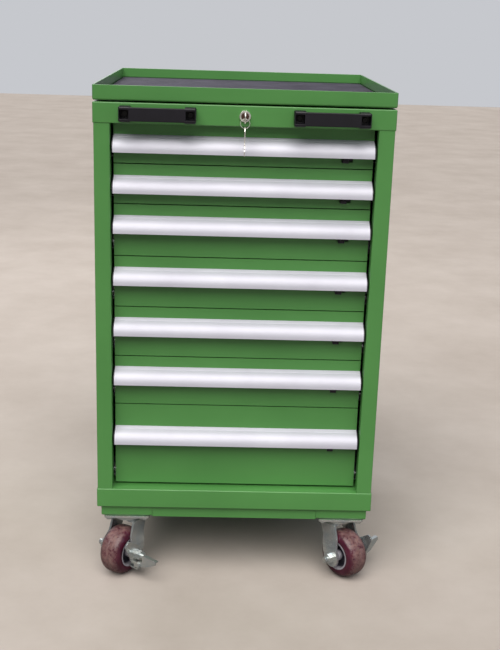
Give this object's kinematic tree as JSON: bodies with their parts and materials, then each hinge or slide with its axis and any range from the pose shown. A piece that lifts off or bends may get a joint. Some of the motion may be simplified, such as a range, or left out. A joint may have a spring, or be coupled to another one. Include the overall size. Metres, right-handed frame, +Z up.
{
  "type": "tool cart",
  "caption": "Green steel drawer cabinet on casters with a matted top tray, aluminium grip drawers, pull handles and a central lock.",
  "frame": {"origin": "on the floor under the middle of the cabinet's width and depth", "axes": "+Z up, -Y the drawer side, +X to the right as seen from the front"},
  "size_m": [0.5978, 0.625, 1.0043],
  "materials": {
    "green_paint": "satin enamel",
    "grip_aluminium": "satin anodised",
    "black_plastic": "moulded",
    "zinc_steel": "zinc plated",
    "maroon_tread": "moulded polyurethane",
    "hub_plastic": "moulded",
    "mat_rubber": "ribbed",
    "nickel": "polished nickel"
  },
  "bodies": {
    "cabinet": {"side_panel_left": "green_paint", "side_panel_right": "green_paint", "back_panel": "green_paint", "top_cover": "green_paint", "base_pan": "green_paint", "top_tray": "green_paint", "tray_mat": "mat_rubber", "slide_uprights": "zinc_steel", "cabinet_rails": "zinc_steel", "caster_subframe": "green_paint", "pull_handles": "black_plastic", "lock_housing": "nickel", "fasteners": "zinc_steel", "front_caster_plates": "zinc_steel", "rear_caster_forks": "zinc_steel"},
    "drawer_1": {"drawer_1_shell": "green_paint", "drawer_1_handle": "grip_aluminium", "drawer_1_rails": "zinc_steel"},
    "drawer_1_catch": {"drawer_1_latch": "black_plastic"},
    "drawer_2": {"drawer_2_shell": "green_paint", "drawer_2_handle": "grip_aluminium", "drawer_2_rails": "zinc_steel"},
    "drawer_2_catch": {"drawer_2_latch": "black_plastic"},
    "drawer_3": {"drawer_3_shell": "green_paint", "drawer_3_handle": "grip_aluminium", "drawer_3_rails": "zinc_steel"},
    "drawer_3_catch": {"drawer_3_latch": "black_plastic"},
    "drawer_4": {"drawer_4_shell": "green_paint", "drawer_4_handle": "grip_aluminium", "drawer_4_rails": "zinc_steel"},
    "drawer_4_catch": {"drawer_4_latch": "black_plastic"},
    "drawer_5": {"drawer_5_shell": "green_paint", "drawer_5_handle": "grip_aluminium", "drawer_5_rails": "zinc_steel"},
    "drawer_5_catch": {"drawer_5_latch": "black_plastic"},
    "drawer_6": {"drawer_6_shell": "green_paint", "drawer_6_handle": "grip_aluminium", "drawer_6_rails": "zinc_steel"},
    "drawer_6_catch": {"drawer_6_latch": "black_plastic"},
    "drawer_7": {"drawer_7_shell": "green_paint", "drawer_7_handle": "grip_aluminium", "drawer_7_rails": "zinc_steel"},
    "drawer_7_catch": {"drawer_7_latch": "black_plastic"},
    "lock": {"lock_plug": "nickel", "lock_rod": "zinc_steel"},
    "key": {"lock_key": "nickel"},
    "ring": {"key_ring": "nickel"},
    "lock_bar": {"locking_bar": "zinc_steel"},
    "left_fork": {"front_left_fork": "zinc_steel"},
    "left_brake": {"front_left_pedal": "zinc_steel"},
    "front_left_wheel": {"front_left_tread": "maroon_tread", "front_left_hub": "hub_plastic"},
    "right_fork": {"front_right_fork": "zinc_steel"},
    "right_brake": {"front_right_pedal": "zinc_steel"},
    "front_right_wheel": {"front_right_tread": "maroon_tread", "front_right_hub": "hub_plastic"},
    "rear_left_wheel": {"rear_left_tread": "maroon_tread", "rear_left_hub": "hub_plastic"},
    "rear_right_wheel": {"rear_right_tread": "maroon_tread", "rear_right_hub": "hub_plastic"}
  },
  "joints": [
    {"name": "drawer_1_slide", "type": "slide", "parent": "cabinet", "child": "drawer_1", "axis": [0, -1, 0], "range_m": [0, 0.4]},
    {"name": "drawer_1_latch_slide", "type": "slide", "parent": "drawer_1", "child": "drawer_1_catch", "axis": [1, 0, 0], "range_m": [0, 0.009]},
    {"name": "drawer_2_slide", "type": "slide", "parent": "cabinet", "child": "drawer_2", "axis": [0, -1, 0], "range_m": [0, 0.4]},
    {"name": "drawer_2_latch_slide", "type": "slide", "parent": "drawer_2", "child": "drawer_2_catch", "axis": [1, 0, 0], "range_m": [0, 0.009]},
    {"name": "drawer_3_slide", "type": "slide", "parent": "cabinet", "child": "drawer_3", "axis": [0, -1, 0], "range_m": [0, 0.4]},
    {"name": "drawer_3_latch_slide", "type": "slide", "parent": "drawer_3", "child": "drawer_3_catch", "axis": [1, 0, 0], "range_m": [0, 0.009]},
    {"name": "drawer_4_slide", "type": "slide", "parent": "cabinet", "child": "drawer_4", "axis": [0, -1, 0], "range_m": [0, 0.4]},
    {"name": "drawer_4_latch_slide", "type": "slide", "parent": "drawer_4", "child": "drawer_4_catch", "axis": [1, 0, 0], "range_m": [0, 0.009]},
    {"name": "drawer_5_slide", "type": "slide", "parent": "cabinet", "child": "drawer_5", "axis": [0, -1, 0], "range_m": [0, 0.4]},
    {"name": "drawer_5_latch_slide", "type": "slide", "parent": "drawer_5", "child": "drawer_5_catch", "axis": [1, 0, 0], "range_m": [0, 0.009]},
    {"name": "drawer_6_slide", "type": "slide", "parent": "cabinet", "child": "drawer_6", "axis": [0, -1, 0], "range_m": [0, 0.4]},
    {"name": "drawer_6_latch_slide", "type": "slide", "parent": "drawer_6", "child": "drawer_6_catch", "axis": [1, 0, 0], "range_m": [0, 0.009]},
    {"name": "drawer_7_slide", "type": "slide", "parent": "cabinet", "child": "drawer_7", "axis": [0, -1, 0], "range_m": [0, 0.4]},
    {"name": "drawer_7_latch_slide", "type": "slide", "parent": "drawer_7", "child": "drawer_7_catch", "axis": [1, 0, 0], "range_m": [0, 0.009]},
    {"name": "lock_turn", "type": "hinge", "parent": "cabinet", "child": "lock", "pos_m": [0, -0.286, 0.95425], "axis": [0, -1, 0], "range_deg": [0, 90]},
    {"name": "key_pull", "type": "slide", "parent": "lock", "child": "key", "axis": [0, -1, 0], "range_m": [0, 0.025]},
    {"name": "ring_hang", "type": "hinge", "parent": "key", "child": "ring", "pos_m": [0, -0.305, 0.94625], "axis": [0, -1, 0], "range_deg": [-90, 0]},
    {"name": "locking_bar_lift", "type": "slide", "parent": "cabinet", "child": "lock_bar", "axis": [0, 0, 1], "range_m": [0, 0.01696]},
    {"name": "left_swivel", "type": "hinge", "parent": "cabinet", "child": "left_fork", "pos_m": [-0.222, -0.248, 0.12], "axis": [0, 0, 1], "continuous": true},
    {"name": "front_left_spin", "type": "hinge", "parent": "left_fork", "child": "front_left_wheel", "pos_m": [-0.23344, -0.26561, 0.05], "axis": [0.8387, -0.5446, 0], "continuous": true},
    {"name": "left_brake_tilt", "type": "hinge", "parent": "left_fork", "child": "left_brake", "pos_m": [-0.1915, -0.29284, 0.033], "axis": [-0.5446, -0.8387, 0], "range_deg": [0, 12]},
    {"name": "right_swivel", "type": "hinge", "parent": "cabinet", "child": "right_fork", "pos_m": [0.222, -0.248, 0.12], "axis": [0, 0, 1], "continuous": true},
    {"name": "front_right_spin", "type": "hinge", "parent": "right_fork", "child": "front_right_wheel", "pos_m": [0.23493, -0.26455, 0.05], "axis": [0.788, 0.6157, 0], "continuous": true},
    {"name": "right_brake_tilt", "type": "hinge", "parent": "right_fork", "child": "right_brake", "pos_m": [0.27433, -0.23377, 0.033], "axis": [0.6157, -0.788, 0], "range_deg": [-12, 0]},
    {"name": "rear_left_spin", "type": "hinge", "parent": "cabinet", "child": "rear_left_wheel", "pos_m": [-0.222, 0.248, 0.05], "axis": [1, 0, 0], "continuous": true},
    {"name": "rear_right_spin", "type": "hinge", "parent": "cabinet", "child": "rear_right_wheel", "pos_m": [0.222, 0.248, 0.05], "axis": [1, 0, 0], "continuous": true}
  ],
  "couplings": [
    {"joint": "lock_turn", "follows": "locking_bar_lift", "rad_per_m": 92.6},
    {"joint": "ring_hang", "follows": "locking_bar_lift", "rad_per_m": -92.6}
  ]
}
